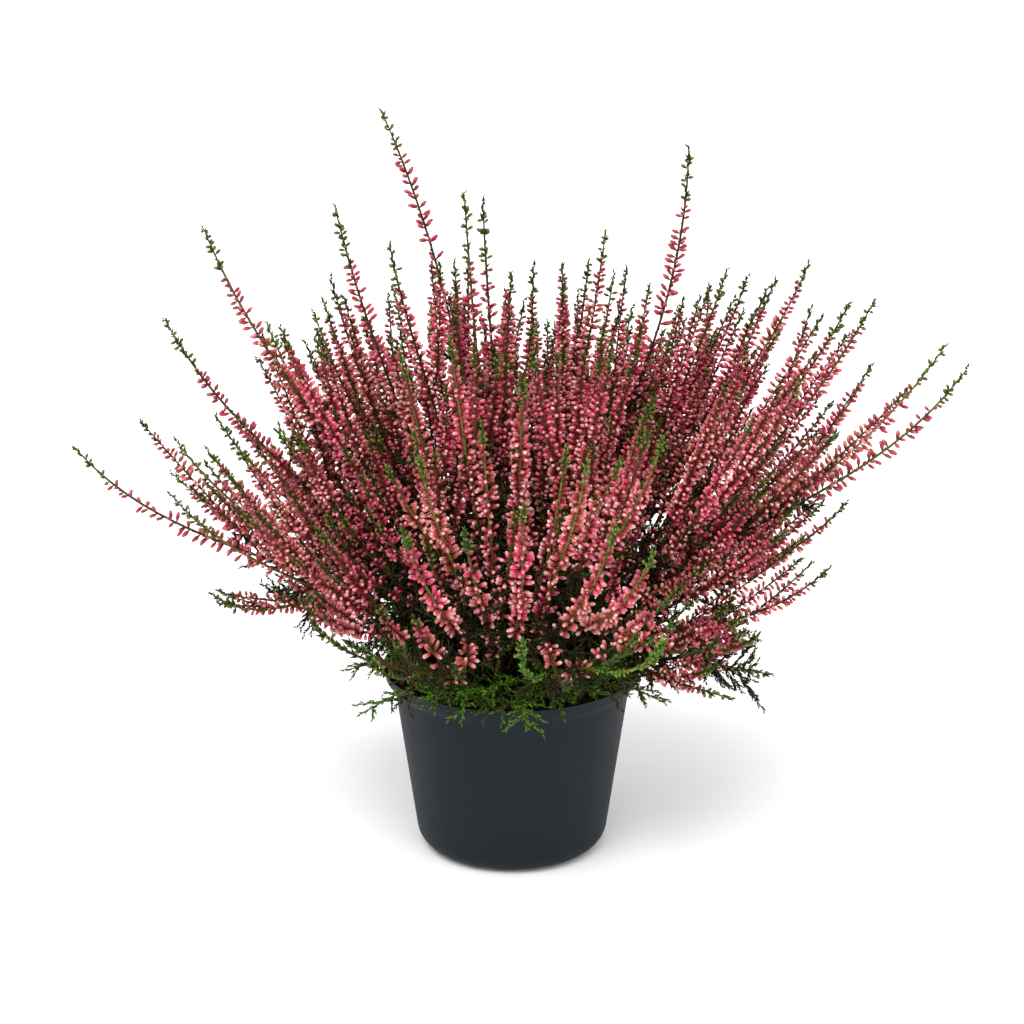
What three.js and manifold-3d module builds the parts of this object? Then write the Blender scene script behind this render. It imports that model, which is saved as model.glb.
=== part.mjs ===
import * as THREE from 'three';
import { mergeVertices } from 'three/addons/utils/BufferGeometryUtils.js';
import Module from 'manifold-3d';

// Potted heather: a bud-flowering heather in a round plastic nursery pot.
// Millimetres, +Z up. The pot stands on z = 0 with its axis on Z, and the plant's front faces -Y.

const wasm = await Module();
wasm.setup();

// Pot
const rimRadius = 60;
const potHeight = 88;
const collarHeight = 5.1;
const collarFootRadius = 58.7;
const chamferHeight = 3.5;
const bodyTopRadius = 54.7;
const bodyFootRadius = 45.2;
const footCornerHeight = 13;
const footRingRadius = 35;
const footRingInner = 31;
const footRecess = 2.4;
const drainHoleRadius = 6;
const potWall = 1.3;
const potSides = 28;
const notchCount = 6;
const notchFirstAngle = -142;
const notchWidth = 8;
const notchDrop = 3.2;

// Compost root ball
const potGap = 0.3;
const soilHeight = 79;
const soilSides = 20;
const stemHoleDepth = 11;
const stemHoleHalfWidth = 1.75;

// Shoots
const stemFootRadius = 1.25;
const stemTopRadius = 0.85;
const plantingRadius = 45;
const fullLean = 72;
const budBelly = 0.21;
const budSpread = 26;
const budSeat = 2.6;
const greenTipLength = 17;
const partingDistance = 14;
const forkAngle = 40;
const forkLeafLength = 12;

// Leading tip of each spray, then the tips of its side shoots.
// A fourth figure is the lean of the tip in degrees.
const sprayTips = [
  [[-200, 10, 190], [-150, -15, 200], [-137, -15, 128]],
  [[-150, -45, 185], [-92, -72, 145]],
  [[-140, 60, 190], [-110, 75, 155]],
  [[-158, 22, 247], [-105, -6, 205]],
  [[-136, -5, 295], [-113, 38, 241]],
  [[-95, 89, 234], [-88, 58, 247]],
  [[-78, -5, 305], [-82, 20, 267], [-54, -3, 287]],
  [[-59, 45, 338, 30], [-27, 60, 265], [-56, 74, 249]],
  [[-21, -8, 311], [-13, 8, 304]],
  [[10, 60, 263], [-3, 78, 246]],
  [[42, 20, 288], [35, 38, 270]],
  [[48, 74, 256], [58, 99, 234]],
  [[79, 79, 237], [74, 114, 215]],
  [[78, 10, 328, 0], [98, 30, 268]],
  [[110, 60, 258], [126, 90, 250]],
  [[136, 38, 270], [165, 25, 255]],
  [[149, -10, 262], [127, -35, 235]],
  [[201, -22, 236], [196, 10, 238]],
  [[162, 50, 206], [143, 62, 157]],
  [[150, -22, 174], [142, -34, 147], [108, -68, 128]],
  [[117, -40, 98, 92], [98, -62, 95, 92]],
  [[-39, -97, 217], [-45, -127, 196], [-24, -112, 128]],
  [[-20, -110, 190], [5, -128, 207]],
  [[31, -115, 221], [43, -132, 201], [24, -114, 124]],
  [[64, -90, 225], [58, -132, 188], [88, -88, 132]],
  [[61, -150, 154], [4, -158, 158]],
  [[-60, -128, 140], [-84, -108, 148]],
];

// Rings of sprays that fill the rest of the plant: lean and reach from the soil, and the arc they stand on.
const sprayRings = [
  { lean: 40, reach: 194, from: 78, to: 107, count: 2, sideTurn: 15 },
  { lean: 55, reach: 187, from: 48, to: 125, count: 4, sideTurn: 11 },
  { lean: 72, reach: 160, from: 36, to: 142, count: 4, sideTurn: 14 },
  { lean: 20, reach: 180, from: 209, to: 344, count: 5, sideTurn: 16 },
];

// Low green shoots stand on a ring just inside the rim.
const leafyShootCount = 14;
const leafyFootRadius = 49;

const degrees = Math.PI / 180;
const up = new THREE.Vector3(0, 0, 1);

// A steady spread of values from 0 to 1, so that neighbours differ without a table.
const spread = (n, step) => (n * step) % 1;

function vector(x, y, z) {
  return new THREE.Vector3(x, y, z);
}

function direction(azimuth, lean) {
  const flat = Math.sin(lean);
  return vector(flat * Math.cos(azimuth), flat * Math.sin(azimuth), Math.cos(lean));
}

function solidOf(geometry) {
  const bare = new THREE.BufferGeometry();
  bare.setAttribute('position', geometry.getAttribute('position'));
  bare.setIndex(geometry.getIndex());
  const merged = mergeVertices(bare, 1e-4);
  return new wasm.Manifold(new wasm.Mesh({
    numProp: 3,
    vertProperties: merged.getAttribute('position').array,
    triVerts: new Uint32Array(merged.getIndex().array),
  }));
}

function meshOf(solid, name, material) {
  const mesh = solid.getMesh();
  const geometry = new THREE.BufferGeometry();
  geometry.setAttribute('position', new THREE.BufferAttribute(new Float32Array(mesh.vertProperties), 3));
  geometry.setIndex(new THREE.BufferAttribute(new Uint32Array(mesh.triVerts), 1));
  geometry.computeVertexNormals();
  const made = new THREE.Mesh(geometry, material);
  made.name = name;
  return made;
}

// A closed profile of [radius, height] pairs turned about Z.
function turned(profile, sides) {
  const points = profile.map(([radius, height]) => new THREE.Vector2(radius, height));
  const geometry = new THREE.LatheGeometry(points, sides);
  geometry.rotateX(Math.PI / 2);
  return geometry;
}

// --- Pot ---

function makePot() {
  const innerTop = rimRadius - potWall;
  const profile = [
    [footRingRadius, 0],
    [41, 2.2],
    [44.2, 6.4],
    [bodyFootRadius, footCornerHeight],
    [bodyTopRadius, potHeight - collarHeight - chamferHeight],
    [collarFootRadius, potHeight - collarHeight],
    [rimRadius, potHeight],
    [innerTop, potHeight],
    [collarFootRadius - potWall, potHeight - collarHeight - 0.6],
    [bodyTopRadius - potWall, potHeight - collarHeight - chamferHeight - 0.6],
    [bodyFootRadius - potWall, footCornerHeight + 0.4],
    [41.2, 6.2],
    [37, footRecess + potWall],
    [drainHoleRadius, footRecess + potWall],
    [drainHoleRadius, footRecess],
    [footRingInner, footRecess],
    [footRingInner, 0],
    [footRingRadius, 0],
  ];
  let pot = solidOf(turned(profile, potSides));
  for (let i = 0; i < notchCount; i++) {
    const angle = (notchFirstAngle + i * 360 / notchCount) * degrees;
    const notch = new THREE.BoxGeometry(10, notchWidth, 2 * notchDrop);
    notch.translate(41.6, 0, 0);
    notch.rotateZ(angle);
    pot = pot.subtract(solidOf(notch));
  }
  return pot;
}

// --- Routes of the shoots ---

// Where a shoot that leans this much stands in the compost.
function plantingRadiusFor(lean) {
  return plantingRadius * Math.min(1, Math.pow(Math.max(lean, 0) / (fullLean * degrees), 0.85));
}

function route(start, startDirection, startPull, tip, tipLean) {
  const chord = tip.clone().sub(start);
  const length = chord.length();
  const azimuth = Math.atan2(tip.y, tip.x);
  const p1 = start.clone().addScaledVector(startDirection, startPull * length);
  const p2 = tip.clone().addScaledVector(direction(azimuth, tipLean), -0.4 * length);
  return new THREE.CubicBezierCurve3(start, p1, p2, tip);
}

// A stem stands upright in the compost, arches out over the rim and rises again towards its tip.
function leadingRoute(tipRow) {
  const tip = vector(tipRow[0], tipRow[1], tipRow[2]);
  const azimuth = Math.atan2(tip.y, tip.x);
  const lean = Math.atan2(Math.hypot(tip.x, tip.y), tip.z - soilHeight);
  const radius = plantingRadiusFor(lean);
  const start = vector(radius * Math.cos(azimuth), radius * Math.sin(azimuth), soilHeight + 3);
  const tipLean = tipRow.length > 3 ? tipRow[3] * degrees : 0.62 * lean;
  return route(start, direction(azimuth, 0.3 * lean), 0.33, tip, tipLean);
}

function sideRoute(lead, along, tipRow) {
  const tip = vector(tipRow[0], tipRow[1], tipRow[2]);
  const start = lead.getPointAt(along);
  const lean = Math.atan2(Math.hypot(tip.x, tip.y), tip.z - soilHeight);
  const tipLean = tipRow.length > 3 ? tipRow[3] * degrees : 0.62 * lean;
  const tangent = lead.getTangentAt(along);
  const away = tip.clone().sub(start);
  away.addScaledVector(tangent, -away.dot(tangent)).normalize();
  const leaving = tangent.clone().multiplyScalar(Math.cos(forkAngle * degrees));
  leaving.addScaledVector(away, Math.sin(forkAngle * degrees));
  return route(start, leaving, 0.22, tip, tipLean);
}

// The share of a side shoot's length where it has parted far enough from its neighbours to carry buds.
function partedShare(side, neighbours) {
  const others = neighbours.flatMap((curve) => curve.getSpacedPoints(60));
  for (let share = 0.25; share < 0.7; share += 0.05) {
    const at = side.getPointAt(share);
    if (Math.min(...others.map((other) => other.distanceTo(at))) > partingDistance) return share;
  }
  return 0.7;
}

// --- Skins: closed three-sided tubes with buds and leaves drawn out of their sides ---

class Skin {
  constructor() {
    this.points = [];
    this.faces = [];
  }

  point(at) {
    this.points.push(at.x, at.y, at.z);
    return this.points.length / 3 - 1;
  }

  at(index) {
    return vector(this.points[3 * index], this.points[3 * index + 1], this.points[3 * index + 2]);
  }

  face(a, b, c) {
    this.faces.push(a, b, c);
  }

  // Three points round the stem.
  ring(frame, radius, turn) {
    const ring = [];
    for (let k = 0; k < 3; k++) {
      const angle = turn + k * 2 * Math.PI / 3;
      const at = frame.centre.clone();
      at.addScaledVector(frame.side, radius * Math.cos(angle));
      at.addScaledVector(frame.front, radius * Math.sin(angle));
      ring.push(this.point(at));
    }
    return ring;
  }

  bridge(low, high) {
    for (let k = 0; k < 3; k++) {
      const next = (k + 1) % 3;
      this.face(low[k], low[next], high[next]);
      this.face(low[k], high[next], high[k]);
    }
  }

  // A face drawn out to a point: a leaf.
  leaf(a, b, c, tip) {
    const apex = this.point(tip);
    this.face(a, b, apex);
    this.face(b, c, apex);
    this.face(c, a, apex);
  }

  // A face drawn out into a club with a pointed end: a bud.
  bud(a, b, c, axis, length, belly) {
    const foot = this.at(a).add(this.at(b)).add(this.at(c)).divideScalar(3);
    const across = this.at(b).sub(this.at(a));
    across.addScaledVector(axis, -across.dot(axis)).normalize();
    const rise = axis.clone().cross(across);
    const middle = foot.clone().addScaledVector(axis, 0.6 * length);
    const corners = [[-0.87, -0.5], [0.87, -0.5], [0, 1]].map(([u, v]) => {
      const at = middle.clone().addScaledVector(across, u * belly).addScaledVector(rise, v * belly);
      return this.point(at);
    });
    this.bridge([a, b, c], corners);
    this.leaf(corners[0], corners[1], corners[2], foot.addScaledVector(axis, length));
  }

  solid() {
    const geometry = new THREE.BufferGeometry();
    geometry.setAttribute('position', new THREE.BufferAttribute(new Float32Array(this.points), 3));
    geometry.setIndex(this.faces);
    return solidOf(geometry);
  }
}

// Walks a route and keeps the section from twisting.
class Walker {
  constructor(curve) {
    this.curve = curve;
    this.length = curve.getLength();
    const tangent = curve.getTangentAt(0);
    this.side = up.clone().cross(tangent);
    if (this.side.length() < 0.05) this.side.set(0, 1, 0);
    this.settle(tangent);
  }

  settle(tangent) {
    this.side.addScaledVector(tangent, -this.side.dot(tangent)).normalize();
  }

  frame(distance) {
    const along = Math.min(1, Math.max(0, distance / this.length));
    const tangent = this.curve.getTangentAt(along);
    this.settle(tangent);
    return {
      centre: this.curve.getPointAt(along),
      tangent,
      side: this.side.clone(),
      front: tangent.clone().cross(this.side),
    };
  }
}

// A whorl of buds or leaves between two rings a short way apart; each side past the count stays plain.
function whorl(skin, low, high, frame, size, count, asLeaves) {
  const tilt = budSpread * degrees;
  for (let k = 0; k < 3; k++) {
    const next = (k + 1) % 3;
    skin.face(low[k], high[next], high[k]);
    if (k >= count) {
      skin.face(low[k], low[next], high[next]);
      continue;
    }
    const seat = skin.at(low[k]).add(skin.at(low[next])).add(skin.at(high[next])).divideScalar(3);
    const out = seat.clone().sub(frame.centre);
    out.addScaledVector(frame.tangent, -out.dot(frame.tangent)).normalize();
    const axis = frame.tangent.clone().multiplyScalar(Math.cos(tilt)).addScaledVector(out, Math.sin(tilt));
    if (asLeaves) {
      skin.leaf(low[k], low[next], high[next], seat.addScaledVector(axis, size));
    } else {
      skin.bud(low[k], low[next], high[next], axis, size, budBelly * size);
    }
  }
}

// The stem's first two rings: one at the bottom of its hole and one just above the compost, upright over it.
function plantFoot(skin, walker, turn) {
  const foot = walker.frame(0);
  const side = vector(foot.side.x, foot.side.y, 0).normalize();
  const front = up.clone().cross(side);
  const bottom = foot.centre.clone().setZ(soilHeight - stemHoleDepth + 2);
  const low = skin.ring({ centre: bottom, side, front }, stemFootRadius, turn);
  skin.face(low[2], low[1], low[0]);
  const high = skin.ring({ centre: foot.centre, side, front }, stemFootRadius, turn);
  skin.bridge(low, high);
  return high;
}

// Turns a section back by less than a third of a turn, so that one of its sides looks along a direction.
function turnedTowards(turn, frame, towards) {
  const third = 2 * Math.PI / 3;
  const wanted = Math.atan2(towards.dot(frame.front), towards.dot(frame.side)) - third / 2;
  const forward = (((wanted - turn) % third) + third) % third;
  return forward > 0 ? turn + forward - third : turn;
}

// A short pair of rings. The side that looks towards the fork is left open, and the others carry a leaf each.
// Returns the open corners.
function forkSeat(skin, low, high, frame, towards) {
  let best = 0;
  let bestDot = -2;
  for (let k = 0; k < 3; k++) {
    const out = skin.at(low[k]).add(skin.at(low[(k + 1) % 3])).multiplyScalar(0.5).sub(frame.centre);
    const dot = out.normalize().dot(towards);
    if (dot > bestDot) {
      best = k;
      bestDot = dot;
    }
  }
  for (let k = 0; k < 3; k++) {
    const next = (k + 1) % 3;
    skin.face(low[k], high[next], high[k]);
    if (k === best) continue;
    const seat = skin.at(low[k]).add(skin.at(low[next])).add(skin.at(high[next])).divideScalar(3);
    const out = seat.clone().sub(frame.centre);
    out.addScaledVector(frame.tangent, -out.dot(frame.tangent)).normalize();
    seat.addScaledVector(frame.tangent, forkLeafLength * 0.75).addScaledVector(out, forkLeafLength * 0.45);
    skin.leaf(low[k], low[next], high[next], seat);
  }
  const next = (best + 1) % 3;
  return [low[best], low[next], high[next]];
}

// One shoot. A leading shoot stands in the compost.
// A side shoot starts from three open corners on its leader.
function growShoot(skin, curve, plan, corners, forks) {
  const walker = new Walker(curve);
  const total = walker.length;
  const radiusAt = (s) => stemFootRadius + (stemTopRadius - stemFootRadius) * s / total;
  let turn = plan.turn;
  let last = corners;
  if (corners) {
    const frame = walker.frame(plan.bareRings[0] * total);
    const centre = skin.at(corners[0]).add(skin.at(corners[1])).add(skin.at(corners[2])).divideScalar(3);
    const arm = skin.at(corners[0]).sub(centre);
    turn = Math.atan2(arm.dot(frame.front), arm.dot(frame.side));
  } else {
    last = plantFoot(skin, walker, turn);
  }
  for (const fork of forks) {
    const frame = walker.frame(fork.along * total);
    turn = turnedTowards(turn, frame, fork.towards);
    const low = skin.ring(frame, radiusAt(fork.along * total) + 0.1, turn);
    skin.bridge(last, low);
    last = skin.ring(walker.frame(fork.along * total + budSeat), radiusAt(fork.along * total), turn);
    fork.corners = forkSeat(skin, low, last, frame, fork.towards);
  }
  for (const share of plan.bareRings) {
    const ring = skin.ring(walker.frame(share * total), radiusAt(share * total), turn);
    skin.bridge(last, ring);
    last = ring;
  }
  const firstBud = plan.firstBud * total;
  const lastBud = total - greenTipLength - plan.topBudLength * 0.6;
  for (let k = 0; k < plan.whorls; k++) {
    const share = plan.whorls > 1 ? k / (plan.whorls - 1) : 1;
    const s = firstBud + (lastBud - firstBud) * share;
    const taper = (plan.topBudLength - plan.budLength) * share;
    const size = plan.budLength + taper + 4 * plan.swell * share * (1 - share);
    turn -= Math.PI / 3;
    const frame = walker.frame(s);
    const low = skin.ring(frame, radiusAt(s) + 0.25, turn);
    skin.bridge(last, low);
    const high = skin.ring(walker.frame(s + budSeat), radiusAt(s) + 0.25, turn);
    whorl(skin, low, high, frame, size, plan.budsInWhorl, false);
    last = high;
  }
  for (const [back, size] of plan.leaves) {
    const s = total - back;
    turn -= Math.PI / 3;
    const frame = walker.frame(s);
    const low = skin.ring(frame, 1.25, turn);
    skin.bridge(last, low);
    const high = skin.ring(walker.frame(s + plan.leafSeat), 1.15, turn);
    whorl(skin, low, high, frame, size, 3, true);
    last = high;
  }
  const apex = skin.point(walker.frame(total).centre);
  for (let k = 0; k < 3; k++) skin.face(last[k], last[(k + 1) % 3], apex);
}

// --- Flowering sprays ---

// Shoots that reach far out or high up are thin, with pairs of smaller buds. The rest carry whorls of three.
function shootPlan(tipRow, index, leading) {
  const flat = Math.hypot(tipRow[0], tipRow[1]);
  const thin = flat > 132 || tipRow[2] > 285;
  const low = tipRow[2] < 140;
  const small = thin || low;
  return {
    turn: spread(index, 0.618034) * 2 * Math.PI,
    bareRings: [leading ? 0.31 : 0.16],
    firstBud: small ? 0.42 : 0.36,
    whorls: (leading ? 4 : 3) + (thin ? 1 : 0) - (tipRow[2] < 110 ? 1 : 0),
    budsInWhorl: thin ? 2 : 3,
    budLength: small ? 13 : 20,
    topBudLength: small ? 9 : 14,
    swell: small ? 2 : 5,
    leaves: [[greenTipLength * 0.75, 5.5]],
    leafSeat: 3,
  };
}

function sprayRowsFromRings() {
  const rows = [];
  let n = 0;
  for (const ring of sprayRings) {
    for (let k = 0; k < ring.count; k++) {
      n++;
      const share = ring.count > 1 ? k / (ring.count - 1) : 0.5;
      const azimuth = (ring.from + (ring.to - ring.from) * share + 6 * spread(n, 0.618034) - 3) * degrees;
      const lean = (ring.lean + 5 * spread(n, 0.754878) - 2.5) * degrees;
      const reach = ring.reach * (0.95 + 0.1 * spread(n, 0.569840));
      const lead = direction(azimuth, lean).multiplyScalar(reach);
      const sideAzimuth = azimuth + ring.sideTurn * degrees;
      const side = direction(sideAzimuth, lean + 6 * degrees).multiplyScalar(reach * 0.84);
      rows.push([
        [lead.x, lead.y, lead.z + soilHeight],
        [side.x, side.y, side.z + soilHeight],
      ]);
    }
  }
  return rows;
}

const stemFeet = [];
let shootNumber = 0;

function makeSpray(rows) {
  const lead = leadingRoute(rows[0]);
  stemFeet.push(lead.getPointAt(0));
  const leadPlan = shootPlan(rows[0], shootNumber++, true);
  const routes = [lead];
  const forks = rows.slice(1).map((row, k) => {
    const along = 0.2 + 0.09 * k;
    const side = sideRoute(lead, along, row);
    const plan = shootPlan(row, shootNumber++, false);
    plan.firstBud = partedShare(side, routes);
    routes.push(side);
    return { along, side, plan, towards: side.getPointAt(0.2).sub(side.getPointAt(0)).normalize() };
  });
  const skin = new Skin();
  growShoot(skin, lead, leadPlan, null, forks);
  for (const fork of forks) growShoot(skin, fork.side, fork.plan, fork.corners, []);
  return skin.solid();
}

// --- Low green shoots ---

function makeLeafyShoot(k) {
  const azimuth = (k + 0.4 + 0.35 * spread(k + 1, 0.618034)) * 2 * Math.PI / leafyShootCount;
  const reach = 80 + 12 * spread(k + 1, 0.754878);
  const tipHeight = 84 + 19 * spread(k + 1, 0.569840);
  const outward = direction(azimuth, Math.PI / 2);
  const start = outward.clone().multiplyScalar(leafyFootRadius).setZ(soilHeight + 2);
  const tip = outward.clone().multiplyScalar(reach).setZ(tipHeight);
  const curve = new THREE.CubicBezierCurve3(
    start,
    start.clone().addScaledVector(direction(azimuth, 5 * degrees), 17),
    tip.clone().addScaledVector(direction(azimuth, 100 * degrees), -15),
    tip,
  );
  stemFeet.push(start.clone());
  const length = curve.getLength();
  const plan = {
    turn: spread(k, 0.618034) * 2 * Math.PI,
    bareRings: [],
    firstBud: 0,
    whorls: 0,
    budsInWhorl: 0,
    budLength: 0,
    topBudLength: 0,
    swell: 0,
    leaves: [[0.7 * length, 9], [0.5 * length, 8], [0.32 * length, 7.5], [0.16 * length, 6]],
    leafSeat: 4,
  };
  const skin = new Skin();
  growShoot(skin, curve, plan, null, []);
  return skin.solid();
}

// --- Soil ---

function makeSoil() {
  const gap = potWall + potGap;
  const floor = footRecess + potWall + potGap;
  const profile = [
    [0, floor],
    [36, floor],
    [bodyFootRadius - gap - 0.4, footCornerHeight + 2],
    [bodyTopRadius - gap - 0.4, soilHeight - 1.5],
    [bodyTopRadius - gap - 3, soilHeight],
    [0, soilHeight],
  ];
  let soil = solidOf(turned(profile, soilSides));
  for (const foot of stemFeet) {
    const width = 2 * stemHoleHalfWidth;
    const hole = new THREE.BoxGeometry(width, width, 2 * stemHoleDepth);
    hole.rotateZ(Math.atan2(foot.y, foot.x));
    hole.translate(foot.x, foot.y, soilHeight);
    soil = soil.subtract(solidOf(hole));
  }
  return soil;
}

// --- The whole plant ---

function finish(colour, roughness) {
  return new THREE.MeshStandardMaterial({ color: colour, roughness, metalness: 0 });
}

const heather = new THREE.Group();
heather.name = 'potted_heather';
const twoDigits = (n) => String(n).padStart(2, '0');

heather.add(meshOf(makePot(), 'pot', finish(0x2c343c, 0.5)));

[...sprayTips, ...sprayRowsFromRings()].forEach((rows, k) => {
  heather.add(meshOf(makeSpray(rows), `spray_${twoDigits(k + 1)}`, finish(0xc9506f, 0.7)));
});

for (let k = 0; k < leafyShootCount; k++) {
  heather.add(meshOf(makeLeafyShoot(k), `leafy_shoot_${twoDigits(k + 1)}`, finish(0x4f7a28, 0.75)));
}

heather.add(meshOf(makeSoil(), 'soil', finish(0x2a211b, 0.95)));

export default heather;
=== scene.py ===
import math
import random

import bpy
import numpy as np
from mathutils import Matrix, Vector, noise


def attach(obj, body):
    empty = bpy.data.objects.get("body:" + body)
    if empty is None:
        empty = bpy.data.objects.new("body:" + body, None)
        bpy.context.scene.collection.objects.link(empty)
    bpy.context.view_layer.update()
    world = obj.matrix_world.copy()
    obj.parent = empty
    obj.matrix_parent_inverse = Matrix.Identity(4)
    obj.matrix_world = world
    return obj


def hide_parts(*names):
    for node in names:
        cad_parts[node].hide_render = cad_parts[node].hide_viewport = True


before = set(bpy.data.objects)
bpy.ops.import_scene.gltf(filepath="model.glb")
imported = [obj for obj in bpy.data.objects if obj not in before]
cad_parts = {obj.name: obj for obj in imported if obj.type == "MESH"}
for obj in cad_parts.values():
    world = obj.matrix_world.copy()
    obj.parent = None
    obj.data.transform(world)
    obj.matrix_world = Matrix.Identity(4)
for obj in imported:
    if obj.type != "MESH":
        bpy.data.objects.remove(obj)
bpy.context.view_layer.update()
print("solids loaded:", len(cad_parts))

mm = 0.001


# small helpers

def deg(angle):
    return math.radians(angle)


def clamp(value):
    return min(1, max(0, value))


def evenly(n):
    # three shares that fill 0 to 1 evenly as n goes up
    return [(n * step) % 1 for step in (0.618034, 0.754878, 0.569840)]


def addObject(name, data):
    made = bpy.data.objects.new(name, data)
    bpy.context.scene.collection.objects.link(made)
    return made


def makeObject(name, points, faces, edges=(), smooth=True):
    mesh = bpy.data.meshes.new(name)
    mesh.from_pydata([tuple(p) for p in points], list(edges), [tuple(f) for f in faces])
    mesh.update()
    if smooth and len(mesh.polygons):
        mesh.shade_smooth()
    return addObject(name, mesh)


def storeFloats(mesh, name, values):
    layer = mesh.attributes.new(name, "FLOAT", "POINT")
    layer.data.foreach_set("value", np.array(values, np.float32))


def settle(source, name):
    # the evaluated shape as a plain mesh in an object of its own
    graph = bpy.context.evaluated_depsgraph_get()
    mesh = bpy.data.meshes.new_from_object(source.evaluated_get(graph), depsgraph=graph)
    mesh.name = name
    source.modifiers.clear()
    bpy.data.objects.remove(source)
    return addObject(name, mesh)


def roundedProfile(corners, steps=3):
    # radius, height and bend of each corner, in mm
    line = []
    for k, (radius, height, bend) in enumerate(corners):
        here = Vector((radius, height))
        before = Vector(corners[k - 1][:2]) - here
        after = Vector(corners[(k + 1) % len(corners)][:2]) - here
        if bend == 0:
            line.append(here)
            continue
        pull = min(bend, 0.45 * before.length, 0.45 * after.length)
        start = here + before.normalized() * pull
        end = here + after.normalized() * pull
        for j in range(steps + 1):
            t = j / steps
            line.append(start * (1 - t) ** 2 + here * 2 * t * (1 - t) + end * t ** 2)
    return line


def circle(radius, height, sides, turn=0.0):
    angles = [2 * math.pi * (k + turn) / sides for k in range(sides)]
    return [(radius * math.cos(angle), radius * math.sin(angle), height) for angle in angles]


def turnedShape(name, line, sides):
    # a closed profile turned about the pot's axis
    points = []
    for k in range(sides):
        angle = 2 * math.pi * k / sides
        for p in line:
            points.append((p.x * mm * math.cos(angle), p.x * mm * math.sin(angle), p.y * mm))
    rows = len(line)
    faces = []
    for k in range(sides):
        here, there = k * rows, (k + 1) % sides * rows
        for j in range(rows):
            nextRow = (j + 1) % rows
            faces.append((here + j, there + j, there + nextRow, here + nextRow))
    return makeObject(name, points, faces)


# node helpers, for materials and for growing trees

class Nodes:
    def __init__(self, tree, material=None):
        self.tree, self.material = tree, material

    def give(self, node, inputs):
        for key, value in inputs.items():
            if isinstance(value, bpy.types.NodeSocket):
                self.tree.links.new(value, node.inputs[key])
            else:
                node.inputs[key].default_value = value
        return node

    def add(self, kind, inputs=None, **settings):
        node = self.tree.nodes.new(kind)
        for key, value in settings.items():
            setattr(node, key, value)
        return self.give(node, inputs or {})

    def out(self, kind, inputs=None, **settings):
        return self.add(kind, inputs, **settings).outputs[0]

    def math(self, operation, a, b, clamp=False):
        return self.out("ShaderNodeMath", {0: a, 1: b}, operation=operation, use_clamp=clamp)

    def blend(self, a, shareOfA, b, shareOfB, clamp=False):
        scaled = self.math("MULTIPLY", a, shareOfA), self.math("MULTIPLY", b, shareOfB)
        return self.math("ADD", *scaled, clamp=clamp)

    def range(self, value, low, high, toLow, toHigh):
        return self.out("ShaderNodeMapRange", {0: value, 1: low, 2: high, 3: toLow, 4: toHigh})

    def attribute(self, name):
        return self.add("ShaderNodeAttribute", attribute_name=name).outputs["Fac"]

    def noise(self, coordinates, scale, detail, roughness=0.5):
        settings = {"Vector": coordinates, "Scale": scale, "Detail": detail, "Roughness": roughness}
        return self.add("ShaderNodeTexNoise", settings).outputs["Fac"]

    def ramp(self, value, places, colours):
        node = self.add("ShaderNodeValToRGB", {0: value})
        elements = node.color_ramp.elements
        while len(elements) < len(places):
            elements.new(0.5)
        for element, place, colour in zip(elements, places, colours):
            element.position = place
            element.color = linear(colour)
        return node.outputs["Color"]

    def mix(self, share, a, b):
        a, b = (linear(colour) if isinstance(colour, tuple) else colour for colour in (a, b))
        return self.add("ShaderNodeMix", {0: share, 6: a, 7: b}, data_type="RGBA").outputs[2]

    def bump(self, height, distance, strength):
        return self.out("ShaderNodeBump", {"Height": height, "Distance": distance, "Strength": strength})

    def surface(self, colour, rough, relief=None, gloss=0.5, more=None):
        given = {"Base Color": colour, "Roughness": rough, "Specular IOR Level": gloss, **(more or {})}
        if relief:
            given["Normal"] = relief
        self.give(self.tree.nodes["Principled BSDF"], given)
        return self.material

    def random(self, low, high, seed):
        settings = {2: low, 3: high, "Seed": seed}
        return self.add("FunctionNodeRandomValue", settings, data_type="FLOAT").outputs[1]

    def realized(self, instances):
        return self.out("GeometryNodeRealizeInstances", {"Geometry": instances})

    def finished(self, geometry, material):
        return self.out("GeometryNodeSetMaterial", {"Geometry": geometry, "Material": material})

    def joined(self, *parts):
        node = self.add("GeometryNodeJoinGeometry")
        for part in parts:
            self.tree.links.new(part, node.inputs[0])
        return node.outputs[0]


def linear(colour):
    # a colour given in 0 to 255 steps, as a shader takes it
    shares = [c / 255 for c in colour]
    return [s / 12.92 if s <= 0.04045 else ((s + 0.055) / 1.055) ** 2.4 for s in shares] + [1.0]


def startTree(name, wanted):
    # a growing tree with geometry in and out, and these inputs by name
    tree = bpy.data.node_groups.new(name, "GeometryNodeTree")
    for label, kind in [("Geometry", "Geometry"), *wanted]:
        tree.interface.new_socket(label, in_out="INPUT", socket_type="NodeSocket" + kind)
    tree.interface.new_socket("Geometry", in_out="OUTPUT", socket_type="NodeSocketGeometry")
    nodes = Nodes(tree)
    return nodes, nodes.add("NodeGroupInput").outputs


def startMaterial(name):
    material = bpy.data.materials.new(name)
    material.use_nodes = True
    nodes = Nodes(material.node_tree, material)
    return nodes, nodes.add("ShaderNodeTexCoord").outputs["Object"]


# camera, light and floor

studio = {
    "aim": (0, 0, 0.162),
    "distance": 1.3,
    "lookDown": 18,
    "lens": 100.09,
    "floorHalf": 6.0,
    "floor": ((247, 247, 247), (250, 250, 250)),
    "world": 1.0,
    "lamps": {  # where from, how soft in degrees, strength
        "key": ((-0.35, -1.0, 1.8), 40, 2.35),
        "fill": ((1.0, -1.0, 1.2), 60, 0.5),
    },
}


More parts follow.
